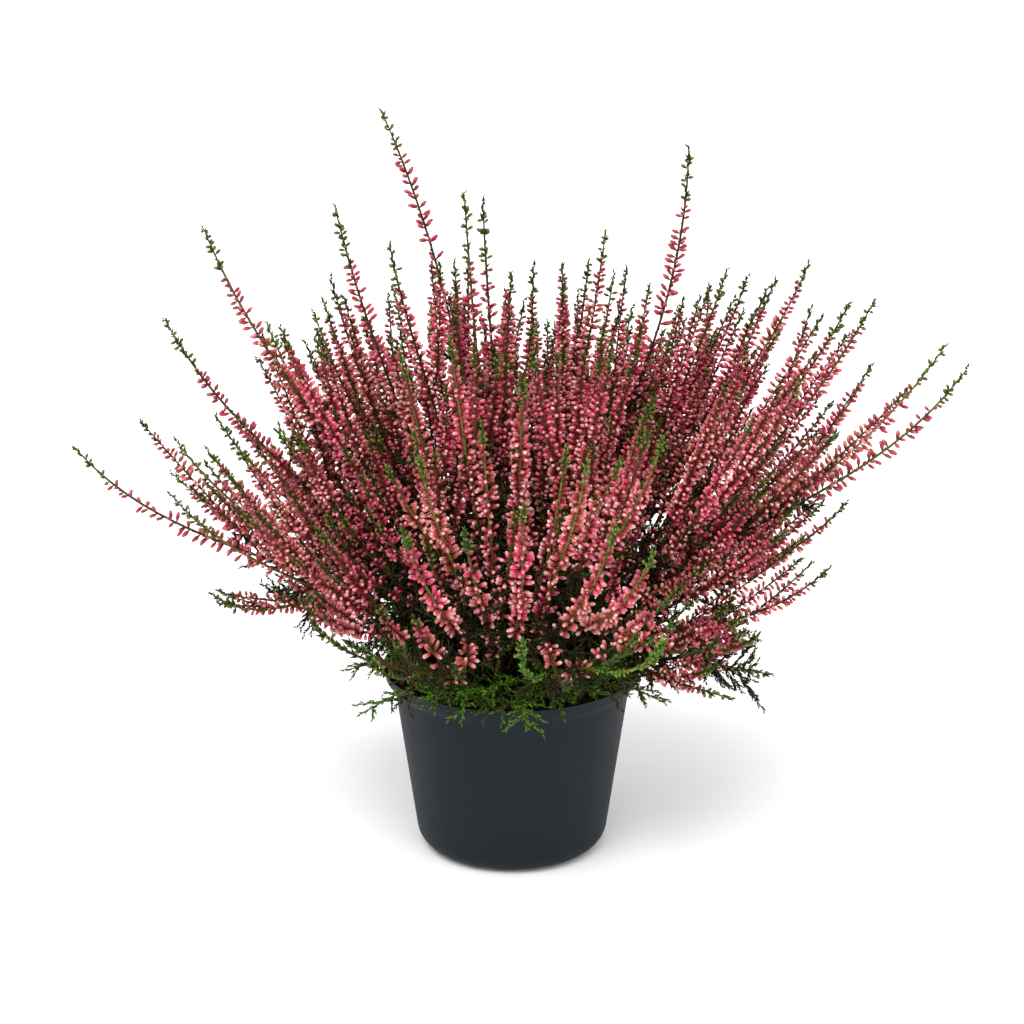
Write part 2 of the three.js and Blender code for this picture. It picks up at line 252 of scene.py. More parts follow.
def makeStudio():
    scene = bpy.context.scene
    camera = addObject("camera", bpy.data.cameras.new("camera"))
    look = deg(studio["lookDown"])
    aim = Vector(studio["aim"])
    camera.location = aim + Vector((0, -math.cos(look), math.sin(look))) * studio["distance"]
    camera.rotation_euler = (math.pi / 2 - look, 0, 0)
    camera.data.lens = studio["lens"]
    camera.data.clip_end = 10 * studio["floorHalf"]
    scene.camera = camera

    for name, (position, spreadOut, power) in studio["lamps"].items():
        data = bpy.data.lights.new(name, "SUN")
        data.angle = deg(spreadOut)
        data.energy = power
        lamp = addObject(name, data)
        lamp.location = position
        lamp.rotation_euler = (-Vector(position)).to_track_quat("-Z", "Y").to_euler()

    world = bpy.data.worlds.new("studio")
    world.use_nodes = True
    background = world.node_tree.nodes["Background"]
    background.inputs["Color"].default_value = (1, 1, 1, 1)
    background.inputs["Strength"].default_value = studio["world"]
    scene.world = world
    scene.view_settings.view_transform = "Standard"

    half = studio["floorHalf"]
    corners = [(-half, -half, 0), (half, -half, 0), (half, half, 0), (-half, half, 0)]
    floor = makeObject("floor", corners, [(0, 1, 2, 3)])
    nodes, place = startMaterial("paleFloor")
    grain = nodes.noise(place, 3, 2, 0.55)
    floor.data.materials.append(nodes.surface(nodes.mix(grain, *studio["floor"]), 0.9))


makeStudio()
print("studio ready")


# the nursery pot

pot = {
    "profile": [
        (35, 0, 0.8), (41, 2.2, 3), (44.2, 6.4, 3), (45.2, 13, 4), (54.7, 79.4, 1.2), (58.7, 82.9, 0.9),
        (59.7, 87.7, 0.4), (60, 88, 0.4), (58.7, 88, 0.4), (57.4, 82.3, 1), (53.4, 78.8, 1), (43.9, 13.4, 4),
        (41.2, 6.2, 3), (37, 3.7, 1.5), (6, 3.7, 0.4), (6, 2.4, 0.4), (31, 2.4, 0.5), (31, 0, 0.6),
    ],
    "sides": 96,
    "sharpFrom": 40,  # edges that bend more than this stay crisp
    "notches": 6,
    "firstNotch": -142,
    "notchWidth": 8,
    "notchDrop": 3.2,
    "notchReach": (36.6, 46.6),
    "notchTaper": 0.86,  # its top, as a share of its width
    "colour": (11, 20, 28),
    "worn": (22, 31, 39),
    "wornShare": 0.3,
    "streaks": (90, 90, 7),  # long upwards, as drawn out of the mould
    "roughness": (0.54, 0.7),
    "relief": 0.12,
    "gloss": 0.18,
}


def makePotPlastic():
    nodes, place = startMaterial("slatePlastic")
    cloud = nodes.noise(place, 38, 4, 0.6)
    fine = nodes.noise(place, 900, 2)
    streaks = nodes.out("ShaderNodeMapping", {"Vector": place, "Scale": pot["streaks"]})
    drawn = nodes.noise(streaks, 1.0, 3, 0.6)
    wear = nodes.range(nodes.blend(cloud, 0.6, drawn, 0.4), 0.35, 0.7, 0, 1)
    colour = nodes.mix(nodes.math("MULTIPLY", wear, pot["wornShare"]), pot["colour"], pot["worn"])
    rough = nodes.range(nodes.blend(wear, 0.7, fine, 0.3), 0, 1, *pot["roughness"])
    relief = nodes.bump(nodes.blend(fine, 0.5, drawn, 0.5), pot["relief"] * mm, 0.6)
    return nodes.surface(colour, rough, relief, pot["gloss"])


def makePot():
    body = turnedShape("pot_body", roundedProfile(pot["profile"]), pot["sides"])
    points, faces = [], []
    for k in range(pot["notches"]):
        angle = deg(pot["firstNotch"] + 360 * k / pot["notches"])
        first = len(points)
        for x in pot["notchReach"]:
            for y in (-0.5, 0.5):
                for z, narrow in ((-3, 1.0), (pot["notchDrop"], pot["notchTaper"])):
                    across = y * pot["notchWidth"] * narrow
                    points.append(((x * math.cos(angle) - across * math.sin(angle)) * mm,
                                   (x * math.sin(angle) + across * math.cos(angle)) * mm, z * mm))
        for face in ((0, 1, 3, 2), (4, 6, 7, 5), (0, 4, 5, 1), (2, 3, 7, 6), (0, 2, 6, 4), (1, 5, 7, 3)):
            faces.append([first + i for i in face])
    cutter = makeObject("notch_cutter", points, faces, smooth=False)
    cut = body.modifiers.new("notches", "BOOLEAN")
    cut.operation = "DIFFERENCE"
    cut.solver = "EXACT"
    cut.object = cutter
    piece = settle(body, "nursery_pot")
    bpy.data.objects.remove(cutter)
    piece.data.materials.clear()
    piece.data.materials.append(makePotPlastic())
    piece.data.set_sharp_from_angle(angle=deg(pot["sharpFrom"]))
    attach(piece, "root")
    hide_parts("pot")


makePot()
print("pot turned")


# compost, with crumbs scattered by a node tree

compost = {
    "top": 79,
    "radius": 52.6,
    "foot": ((36, 4.2), (43.2, 15)),  # radius and height of the ball's lower corners
    "edgeDrop": (1, 5),  # how far in and down the upper edge starts
    "rimDrop": 1.5,
    "rings": 18,
    "sides": 56,
    "lump": 1.6,
    "lumpsTo": 0.12,  # how fine the lumps are
    "crumbs": 420,
    "crumbSize": 1.5,
    "crumbSides": 5,
    "colours": ((24, 18, 14), (46, 34, 26), (84, 66, 48)),
    "seed": 7,
}


def makeCompostFinish():
    nodes, place = startMaterial("darkCompost")
    lumps = nodes.noise(place, 260, 5, 0.65)
    fibres = nodes.noise(place, 1400, 3, 0.6)
    colour = nodes.ramp(lumps, (0.3, 0.55, 0.78), compost["colours"])
    relief = nodes.math("ADD", lumps, nodes.math("MULTIPLY", fibres, 0.4))
    return nodes.surface(colour, nodes.range(lumps, 0, 1, 0.75, 1), nodes.bump(relief, 0.8 * mm, 0.9))


def makeCrumb():
    # an uneven lump of three rings, one unit across
    rng = random.Random(3)
    sides = compost["crumbSides"]
    points = []
    for z, radius in ((-0.8, 0.5), (0.1, 1.0), (0.8, 0.45)):
        for k in range(sides):
            angle = 2 * math.pi * k / sides + z
            r = radius * rng.uniform(0.7, 1.2)
            points.append((r * math.cos(angle), r * math.sin(angle), z * rng.uniform(0.7, 1.1)))
    faces = [range(sides - 1, -1, -1), range(2 * sides, 3 * sides)]
    for row in (0, sides):
        for k in range(sides):
            n = (k + 1) % sides
            faces.append((row + k, row + n, row + sides + n, row + sides + k))
    return makeObject("crumb", points, faces, smooth=False)


def makeScatterTree():
    nodes, given = startTree("crumbScatter", [
        ("Crumb", "Object"), ("Density", "Float"), ("Size", "Float"), ("Seed", "Int"),
        ("Finish", "Material")])
    scattered = nodes.out("GeometryNodeDistributePointsOnFaces", {
        "Mesh": given["Geometry"], "Density": given["Density"], "Seed": given["Seed"]})
    crumb = nodes.add("GeometryNodeObjectInfo", {"Object": given["Crumb"]}).outputs["Geometry"]
    anyTurn = {1: (6.3, 6.3, 6.3), "Seed": given["Seed"]}  # up to a full turn about each axis
    turn = nodes.out("FunctionNodeRandomValue", anyTurn, data_type="FLOAT_VECTOR")
    size = nodes.math("MULTIPLY", nodes.random(0.35, 1.0, 5), given["Size"])
    placed = nodes.out("GeometryNodeInstanceOnPoints", {
        "Points": scattered, "Instance": crumb, "Rotation": turn, "Scale": size})
    together = nodes.joined(given["Geometry"], nodes.realized(placed))
    nodes.add("NodeGroupOutput", {"Geometry": nodes.finished(together, given["Finish"])})
    return nodes.tree


def applyTree(source, tree, values, name):
    modifier = source.modifiers.new(tree.name, "NODES")
    modifier.node_group = tree
    for socket in tree.interface.items_tree:
        if socket.item_type == "SOCKET" and socket.in_out == "INPUT" and socket.name in values:
            modifier[socket.identifier] = values[socket.name]
    return settle(source, name)


def makeCompost():
    # the ball's side, then its lumpy top: radius, height and lumpiness of each ring
    inwards, down = compost["edgeDrop"]
    rows = [(radius, height, 0.0) for radius, height in compost["foot"]]
    rows.append((compost["radius"] - inwards, compost["top"] - down, 0.0))
    for k in range(compost["rings"]):
        share = 1 - k / compost["rings"]
        rows.append((compost["radius"] * share, compost["top"] - compost["rimDrop"] * (k == 0), 1.0))
    points = [(0, 0, rows[0][1] * mm)]
    sides = compost["sides"]
    for radius, height, lumpy in rows:
        for x, y, _ in circle(radius, height, sides):
            bump = noise.fractal(Vector((x, y, 3)) * compost["lumpsTo"], 0.9, 2.0, 4)
            lift = bump * compost["lump"] * lumpy
            points.append((x * mm, y * mm, (height + lift) * mm))
    points.append((0, 0, compost["top"] * mm))
    faces = []
    for k in range(sides):
        n = (k + 1) % sides
        faces.append((0, 1 + n, 1 + k))
        for row in range(len(rows) - 1):
            a, b = 1 + row * sides, 1 + (row + 1) * sides
            faces.append((a + k, a + n, b + n, b + k))
        last = 1 + (len(rows) - 1) * sides
        faces.append((last + k, last + n, len(points) - 1))
    bed = makeObject("compost_bed", points, faces)
    crumb = makeCrumb()
    area = 3 * math.pi * (compost["radius"] * mm) ** 2  # the whole ball, about three times its top
    piece = applyTree(bed, makeScatterTree(), {
        "Crumb": crumb, "Density": compost["crumbs"] / area, "Size": compost["crumbSize"] * mm,
        "Seed": compost["seed"], "Finish": makeCompostFinish()}, "compost_bed")
    bpy.data.objects.remove(crumb)
    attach(piece, "root")
    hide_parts("soil")


makeCompost()
print("compost filled")


# routes of the shoots, in mm, as the solids have them

class Route:
    # one smooth curve from a start to a tip, walked by its length
    steps = 120

    def __init__(self, start, startPull, endPull, tip):
        t = np.linspace(0, 1, self.steps + 1)[:, None]
        self.line = ((1 - t) ** 3 * start + 3 * (1 - t) ** 2 * t * startPull
                     + 3 * (1 - t) * t ** 2 * endPull + t ** 3 * tip)
        strides = np.linalg.norm(np.diff(self.line, axis=0), axis=1)
        self.walked = np.concatenate([[0], np.cumsum(strides)])
        self.length = self.walked[-1]

    def point(self, share):
        at = clamp(share) * self.length
        return np.array([np.interp(at, self.walked, self.line[:, k]) for k in range(3)])

    def tangent(self, share):
        ahead = self.point(share + 0.01) - self.point(share - 0.01)
        return ahead / np.linalg.norm(ahead)


def unit(vector):
    return vector / max(np.linalg.norm(vector), 1e-9)


def direction(azimuth, lean):
    # a unit vector that leans from straight up
    flat = math.sin(lean)
    return np.array([flat * math.cos(azimuth), flat * math.sin(azimuth), math.cos(lean)])


up = np.array([0, 0, 1.0])

plant = {
    "soilHeight": 79,
    "rootDepth": 9,
    "plantingRadius": 45,
    "fullLean": 72,  # a shoot that leans this much stands at the planting radius
    "forkAngle": 40,
    "stemFoot": 0.9,
    "stemTop": 0.62,
    "leafyShoots": 14,
    "leafyFoot": 49,
    "leafyReach": (80, 12),  # the least, and how much more at most
    "leafyTip": (84, 19),
}

# the leading tip of each spray, then the tips of its side shoots; a fourth figure is the tip's lean
sprayTips = [
    [[-200, 10, 190], [-150, -15, 200], [-137, -15, 128]],
    [[-150, -45, 185], [-92, -72, 145]],
    [[-140, 60, 190], [-110, 75, 155]],
    [[-158, 22, 247], [-105, -6, 205]],
    [[-136, -5, 295], [-113, 38, 241]],
    [[-95, 89, 234], [-88, 58, 247]],
    [[-78, -5, 305], [-82, 20, 267], [-54, -3, 287]],
    [[-59, 45, 338, 30], [-27, 60, 265], [-56, 74, 249]],
    [[-21, -8, 311], [-13, 8, 304]],
    [[10, 60, 263], [-3, 78, 246]],
    [[42, 20, 288], [35, 38, 270]],
    [[48, 74, 256], [58, 99, 234]],
    [[79, 79, 237], [74, 114, 215]],
    [[78, 10, 328, 0], [98, 30, 268]],
    [[110, 60, 258], [126, 90, 250]],
    [[136, 38, 270], [165, 25, 255]],
    [[149, -10, 262], [127, -35, 235]],
    [[201, -22, 236], [196, 10, 238]],
    [[162, 50, 206], [143, 62, 157]],
    [[150, -22, 174], [142, -34, 147], [108, -68, 128]],
    [[117, -40, 98, 92], [98, -62, 95, 92]],
    [[-39, -97, 217], [-45, -127, 196], [-24, -112, 128]],
    [[-20, -110, 190], [5, -128, 207]],
    [[31, -115, 221], [43, -132, 201], [24, -114, 124]],
    [[64, -90, 225], [58, -132, 188], [88, -88, 132]],
    [[61, -150, 154], [4, -158, 158]],
    [[-60, -128, 140], [-84, -108, 148]],
]

# rings of sprays that fill the rest: lean, reach, arc, count and turn of the side shoot
sprayRings = [
    (40, 194, 78, 107, 2, 15),
    (55, 187, 48, 125, 4, 11),
    (72, 160, 36, 142, 4, 14),
    (20, 180, 209, 344, 5, 16),
]


def ringTips():
    rows = []
    n = 0
    for lean, reach, first, last, count, sideTurn in sprayRings:
        for k in range(count):
            n += 1
            turned, leaned, reached = evenly(n)
            azimuth = deg(first + (last - first) * k / (count - 1) + 6 * turned - 3)
            leanHere = deg(lean + 5 * leaned - 2.5)
            reachHere = reach * (0.95 + 0.1 * reached)
            lead = direction(azimuth, leanHere) * reachHere
            side = direction(azimuth + deg(sideTurn), leanHere + deg(6)) * reachHere * 0.84
            rows.append([list(end + up * plant["soilHeight"]) for end in (lead, side)])
    return rows


def leanOf(row):
    return math.atan2(math.hypot(row[0], row[1]), row[2] - plant["soilHeight"])


def tipLean(row):
    if len(row) > 3:
        return deg(row[3])
    return 0.62 * leanOf(row)


def routeTo(start, leaving, pull, row):
    tip = np.array(row[:3], float)
    chord = np.linalg.norm(tip - start)
    ending = direction(math.atan2(tip[1], tip[0]), tipLean(row))
    return Route(start, start + leaving * pull * chord, tip - ending * 0.4 * chord, tip)


def leadingRoute(row):
    azimuth = math.atan2(row[1], row[0])
    lean = leanOf(row)
    radius = plant["plantingRadius"] * min(1, (lean / deg(plant["fullLean"])) ** 0.85)
    start = np.array([radius * math.cos(azimuth), radius * math.sin(azimuth), plant["soilHeight"] + 3])
    return routeTo(start, direction(azimuth, 0.3 * lean), 0.33, row)


def sideRoute(lead, along, row, angle, pull=0.22):
    start = lead.point(along)
    tangent = lead.tangent(along)
    away = np.array(row[:3], float) - start
    away = unit(away - tangent * away.dot(tangent))
    leaving = tangent * math.cos(deg(angle)) + away * math.sin(deg(angle))
    return routeTo(start, leaving, pull, row)


def leafyRoute(k):
    turned, reached, raised = evenly(k + 1)
    azimuth = (k + 0.4 + 0.35 * turned) * 2 * math.pi / plant["leafyShoots"]
    reach = plant["leafyReach"][0] + plant["leafyReach"][1] * reached
    tipHeight = plant["leafyTip"][0] + plant["leafyTip"][1] * raised
    outward = direction(azimuth, math.pi / 2)
    start = outward * plant["leafyFoot"] + up * (plant["soilHeight"] + 2)
    tip = outward * reach + up * tipHeight
    leaving, ending = direction(azimuth, deg(5)), direction(azimuth, deg(100))
    return Route(start, start + leaving * 17, tip - ending * 15, tip)


# lines with sizes along them, which the growing tree dresses with bark, buds and leaves

class Lines:
    def __init__(self):
        self.points, self.edges, self.values = [], [], {}

    def add(self, points, root=None, **values):
        # values along the line, or one for all of it
        if root:
            # one more point straight down in the compost, bare of buds and leaves
            radius, further = root
            points = np.vstack([[*points[0][:2], plant["soilHeight"] - plant["rootDepth"]], points])
            bare = {"stemRadius": radius, "budOpen": 1, "fromTip": values["fromTip"][0] + further}
            for name, given in values.items():
                if np.ndim(given):
                    values[name] = np.concatenate([[bare.get(name, 0)], given])
        first = len(self.points)
        self.points += [tuple(p * mm) for p in points]
        self.edges += [(first + k, first + k + 1) for k in range(len(points) - 1)]
        for name, given in values.items():
            self.values.setdefault(name, []).extend(np.broadcast_to(given, len(points)))

    def asObject(self, name):
        made = makeObject(name, self.points, [], self.edges)
        for key, given in self.values.items():
            storeFloats(made.data, key, given)
        return made


raceme = {
    "pointStep": 2.0,
    "budLength": 4.7,  # the bud itself, past its stalk
    "stalk": 1.5,
    "budWidth": 2.1,
    "budSides": 4,
    # the rings of a bud: how far up it, how wide, and where in its colours
    "budRings": ((0.36, 0.96, 0.46), (0.84, 0.84, 0.86)),
    "budStep": 0.68,  # one bud each so far along the stem
    "lean": (50, 86),  # from the stem, in degrees
    "small": 0.72,  # size of the buds in the mass, and on the front shoots
    "large": 0.88,
    "plump": 0.4,  # how little a bud's width follows its size
    "whorl": 7.6,  # distance between the clusters on a thin shoot
    "opensOver": 24,  # from the closed buds down to the full ones
    "fillsOver": 10,  # from the first bud up to the full number
    "bloomsOver": 12,  # the same, above the height where the flowers start
    "closedSize": 0.56,
    "leafLength": 3.9,
    "leafWidth": 1.9,
    "leafStep": 1.2,
    "leafLean": (14, 42),
    "leafShare": 0.44,  # of the places for leaves along a shoot in bloom
    "deepInside": (84, 35),  # buds thin out inside this radius, over so much
    "deepBelow": (188, 50),  # and below this height
    "riseFrom": 60,  # radius from which the lowest flowers stand higher
}


def rising(values, start, over):
    return np.clip((values - start) / over, 0, 1)


def falling(values, end, over):
    return np.clip((end - values) / over, 0, 1)


def addRaceme(lines, route, firstBud, rng, tone, bloomFrom, thin=0.0, rooted=False, stem=None,
              greenTip=14, bloom=raceme["small"]):
    count = max(8, int(route.length / raceme["pointStep"]))
    share = np.linspace(0, 1, count + 1)
    points = np.array([route.point(s) for s in share])
    fromTip = (1 - share) * route.length
    foot, top = stem or (plant["stemFoot"], plant["stemTop"])
    radius = np.minimum(foot + (top - foot) * share ** 0.8, 0.26 + fromTip * 0.018)
    green = greenTip * rng.uniform(0.6, 1.2) * (1 + 0.9 * thin)
    closed = fromTip < green
    opened = rising(fromTip, green, raceme["opensOver"])
    along = share * route.length - firstBud * route.length
    phase = rng.random()
    wave = 0.5 + 0.5 * np.cos(2 * math.pi * (fromTip / raceme["whorl"] + phase))

    # sizes: nothing under the first bud, small closed buds at the end
    budSize = np.where(along > 0, np.maximum(0.45, (0.55 + 0.45 * opened) * bloom * (1 + 0.25 * thin)), 0)
    budSize = np.where(closed, raceme["closedSize"] - 0.3 * falling(fromTip, 10, 10), budSize)

    # numbers: in whorls on a thin shoot, fewer at both ends and deep in the plant
    full = 0.86 + 0.14 * wave
    sparse = 0.16 + 0.7 * wave ** 1.4
    apart = (raceme["small"] / bloom) ** 1.6  # large buds stand further apart
    budChance = (full * (1 - thin) + sparse * thin) * apart
    budChance = budChance * (0.35 + 0.65 * rising(along, 0, raceme["fillsOver"])) * (0.75 + 0.25 * opened)
    flat = np.hypot(points[:, 0], points[:, 1])
    deepIn = falling(flat, *raceme["deepInside"]) * falling(points[:, 2], *raceme["deepBelow"])
    lowest, risesBy, thinsBy = bloomFrom
    inBloom = rising(points[:, 2], lowest + risesBy * np.clip(flat - raceme["riseFrom"], 0, None),
                     raceme["bloomsOver"])
    budChance = budChance * (1 - thinsBy * deepIn) * inBloom * (along > 0)
    budChance = np.where(closed, np.where(fromTip > 1.5, 0.2 + 0.6 * wave ** 2, 0), budChance)

    # leaves: close at the tip and at the foot, bracts between the buds
    tipLeaf = falling(fromTip, green + 16, 14)
    footLeaf = np.maximum(falling(along, 12, 25), 1 - inBloom)
    atEnd = falling(fromTip, 10, 4)
    leafChance = raceme["leafShare"] + (1 - raceme["leafShare"]) * atEnd
    leafChance = np.maximum(leafChance, np.maximum(tipLeaf * (0.45 + 0.55 * wave), 0.6 * footLeaf))
    leafSize = 0.6 + tipLeaf * (0.1 + 0.3 * wave) + 0.5 * footLeaf - 0.1 * falling(fromTip, 4, 4)

    lines.add(points, (foot, 12) if rooted else None, stemRadius=radius, budSize=budSize,
              budChance=budChance, budOpen=opened * (1 - 0.5 * thin), leafSize=leafSize,
              leafChance=leafChance, fromTip=fromTip, shootTone=tone)


def addLeafy(lines, route, count, stem, leaf, chance, tone, root=None):
    # bark and scale leaves, no buds; stem and leaf are a size at the foot and what it loses to the tip
    share = np.linspace(0, 1, count)
    lines.add(np.array([route.point(s) for s in share]), root, stemRadius=stem[0] - stem[1] * share,
              budSize=0.0, budChance=0.0, budOpen=1.0, leafSize=leaf[0] - leaf[1] * share,
              leafChance=chance, fromTip=(1 - share) * route.length, shootTone=tone)


def bentRoute(start, leaving, ending, length, shareOfEnd):
    tip = start + (leaving * (1 - shareOfEnd) + ending * shareOfEnd) * length
    return Route(start, start + leaving * 0.35 * length, tip - ending * 0.35 * length, tip)


def addSprig(lines, start, leaving, length, rng, tone, droop=0.0):
    # a short green branchlet, thick with scale leaves
    ending = unit(leaving + up * (0.35 - droop) + np.array([rng.uniform(-0.3, 0.3) for _ in range(3)]))
    route = bentRoute(start, leaving, ending, length, 0.45)
    addLeafy(lines, route, 7, (0.42, 0.2), (0.95, 0.35), 1.0, tone)
    return route


# the two forms that are set along the lines

def makeBud():
    # a club on a short stalk, closed at both ends
    stalk, length, width = raceme["stalk"], raceme["budLength"], raceme["budWidth"] / 2
    sides = raceme["budSides"]
    points, along = [(0, 0, 0)], [0.0]
    for row, (height, wide, share) in enumerate(raceme["budRings"]):
        ring = circle(wide * width, stalk + height * length, sides, 0.5 * row)
        points += [(x * mm, y * mm, z * mm) for x, y, z in ring]
        along += [share] * sides
    points.append((0, 0, (stalk + length) * mm))
    along.append(1.0)
    faces = []
    lower, upper = 1, 1 + sides
    for k in range(sides):
        n = (k + 1) % sides
        faces += [(0, lower + n, lower + k), (lower + k, lower + n, upper + k),
                  (lower + n, upper + n, upper + k), (upper + k, upper + n, len(points) - 1)]
    bud = makeObject("bud_form", points, faces)
    storeFloats(bud.data, "alongBud", along)
    return bud


def makeLeaf():
    # a scale leaf: three-sided, broad near its foot and pointed
    length, width = raceme["leafLength"] * mm, raceme["leafWidth"] / 2 * mm
    points = []
    for angle, height in ((90, 0.0), (210, 0.22), (330, 0.22)):
        points.append((width * math.cos(deg(angle)), 0.8 * width * math.sin(deg(angle)), height * length))
    points.append((0, 0, length))
    leaf = makeObject("leaf_form", points, [(2, 1, 0), (0, 1, 3), (1, 2, 3), (2, 0, 3)])
    storeFloats(leaf.data, "alongLeaf", [0, 0.2, 0.2, 1])
    return leaf


# the growing tree: bark along the lines, then buds and scale leaves set round them

def makeGrowTree():
    nodes, given = startTree("heatherGrowth", [
        ("Stem step", "Float"), ("Stem sides", "Int"),
        ("Bud", "Object"), ("Bud step", "Float"), ("Bud lean low", "Float"), ("Bud lean high", "Float"),
        ("Leaf", "Object"), ("Leaf step", "Float"), ("Seed", "Int"),
        ("Bark", "Material"), ("Petals", "Material"), ("Green", "Material")])
    curve = nodes.out("GeometryNodeMeshToCurve", {"Mesh": given["Geometry"]})

    def named(name):
        return nodes.out("GeometryNodeInputNamedAttribute", {"Name": name}, data_type="FLOAT")

    def rolled(low, high, seed):
        return nodes.random(low, high, nodes.math("ADD", given["Seed"], seed))

    def turned(rotation, axis, angle):
        turn = nodes.out("FunctionNodeAxisAngleToRotation", {"Axis": axis, "Angle": angle})
        both = {"Rotation": rotation, "Rotate By": turn}
        return nodes.out("FunctionNodeRotateRotation", both, rotation_space="LOCAL")

    radius = named("stemRadius")
    evened = {"Curve": curve, "Length": given["Stem step"]}
    evened = nodes.out("GeometryNodeResampleCurve", evened, mode="LENGTH")
    sized = nodes.out("GeometryNodeSetCurveRadius", {"Curve": evened, "Radius": radius})
    ring = nodes.out("GeometryNodeCurvePrimitiveCircle", {"Resolution": given["Stem sides"], "Radius": mm})
    bark = nodes.out("GeometryNodeCurveToMesh", {
        "Curve": sized, "Profile Curve": ring, "Scale": radius, "Fill Caps": True})
    bark = nodes.finished(nodes.out("GeometryNodeSetShadeSmooth", {"Geometry": bark}), given["Bark"])

    def dressed(kind, lean, turnEach, wide, plump, seed, material):
        # a form at each step along the lines, turned on from the last and leaning off the stem
        own = kind.lower()
        chance, size = named(own + "Chance"), named(own + "Size")
        eachStep = {"Curve": curve, "Length": given[kind + " step"]}
        steps = nodes.add("GeometryNodeCurveToPoints", eachStep, mode="LENGTH").outputs
        kept = nodes.math("LESS_THAN", rolled(0.0, 1.0, seed), chance)
        turn = nodes.math("MULTIPLY", nodes.out("GeometryNodeInputIndex"), turnEach)
        turn = nodes.math("ADD", turn, rolled(-0.5, 0.5, seed + 1))
        facing = turned(steps["Rotation"], (0, 0, 1), turn)
        facing = turned(facing, (1, 0, 0), nodes.random(*lean, seed + 2))
        thickness = nodes.math("MULTIPLY", nodes.math("POWER", size, plump), rolled(*wide, seed + 3))
        length = nodes.math("MULTIPLY", size, rolled(0.85, 1.12, seed + 4))
        scale = nodes.out("ShaderNodeCombineXYZ", {"X": thickness, "Y": thickness, "Z": length})
        tone = {"Geometry": steps["Points"], "Name": own + "Tone", "Value": rolled(0.0, 1.0, seed + 5)}
        toned = nodes.out("GeometryNodeStoreNamedAttribute", tone, data_type="FLOAT", domain="POINT")
        shape = nodes.add("GeometryNodeObjectInfo", {"Object": given[kind]}).outputs["Geometry"]
        placed = nodes.out("GeometryNodeInstanceOnPoints", {
            "Points": toned, "Selection": kept, "Instance": shape, "Rotation": facing, "Scale": scale})
        return nodes.finished(nodes.realized(placed), material)

    # a quarter turn to the next, and a little more on the buds so that their rows wind
    quarter = math.pi / 2
    budLean = given["Bud lean low"], given["Bud lean high"]
    leafLean = [deg(angle) for angle in raceme["leafLean"]]
    buds = dressed("Bud", budLean, quarter + 0.011, (0.85, 1.15), raceme["plump"], 10, given["Petals"])
    leaves = dressed("Leaf", leafLean, quarter, (0.8, 1.2), 1.0, 30, given["Green"])
    nodes.add("NodeGroupOutput", {"Geometry": nodes.joined(bark, buds, leaves)})
    return nodes.tree


# finishes of the plant

petals = {
    # from the foot of a bud to its end: the bud's own pink to pale, with painted shade deepening its hidden
    # foot and a painted highlight paling its end
    "places": (0.0, 0.24, 0.48, 0.8, 1.0),
    "deep": ((64, 34, 14), (96, 30, 24), (156, 20, 48), (204, 68, 94), (234, 168, 160)),
    "pale": ((104, 70, 28), (130, 50, 42), (198, 62, 86), (240, 162, 170), (254, 234, 220)),
    # newly opened, going over, and faded: noise scale and detail, where it is full, its share and colour
    "patches": ((24, 2, 0.62, 0.5, (206, 26, 90)), (24, 2, 0.38, 0.35, (158, 98, 56)),
                (330, 1, 0.68, 0.65, (146, 84, 48))),
    "young": (146, 42, 60),  # and the outer ones
    "closed": ((44, 48, 14), (104, 110, 44)),
    "gloss": 0.22,
    "throughLight": 0.12,
    "throughReach": (0.0012, 0.0004, 0.0004),
}


def makePetalFinish():
    nodes, place = startMaterial("budPink")
    along, opened = nodes.attribute("alongBud"), nodes.attribute("budOpen")
    mottle = nodes.noise(place, 900, 2)
    reach = nodes.math("ADD", along, nodes.range(mottle, 0.3, 0.7, -0.14, 0.14))
    # a shoot's tone carries its own random tone and the painted shade given to low and inner shoots
    share = nodes.blend(nodes.attribute("budTone"), 0.75, nodes.attribute("shootTone"), 0.3, clamp=True)
    deep, pale = (nodes.ramp(reach, petals["places"], petals[name]) for name in ("deep", "pale"))
    colour = nodes.mix(share, deep, pale)
    for scale, detail, fullAt, most, tint in petals["patches"]:
        patch = nodes.noise(place, scale, detail)
        colour = nodes.mix(nodes.range(patch, 0.5, fullAt, 0, most), colour, tint)
    colour = nodes.mix(nodes.range(opened, 0.5, 0.85, 0.75, 0), colour, petals["young"])
    closed = nodes.mix(along, *petals["closed"])
    colour = nodes.mix(nodes.range(opened, 0.0, 0.12, 0, 1), closed, colour)
    rough, relief = nodes.range(mottle, 0, 1, 0.38, 0.6), nodes.bump(mottle, 0.25 * mm, 0.5)
    return nodes.surface(colour, rough, relief, petals["gloss"], {
        "Subsurface Weight": petals["throughLight"], "Subsurface Radius": petals["throughReach"],
        "Subsurface Scale": 1.0})


barkTones = {
    "places": (0.0, 0.16, 0.4, 0.7, 1.0),  # from the tip down
    "length": 150,
    "colours": ((52, 84, 22), (76, 62, 30), (78, 46, 28), (46, 25, 14), (28, 14, 8)),
    "straw": (160, 150, 74),  # between the tip and the foot of a bright shoot
    "cracks": (44, 28, 16),
    "gloss": 0.15,
}


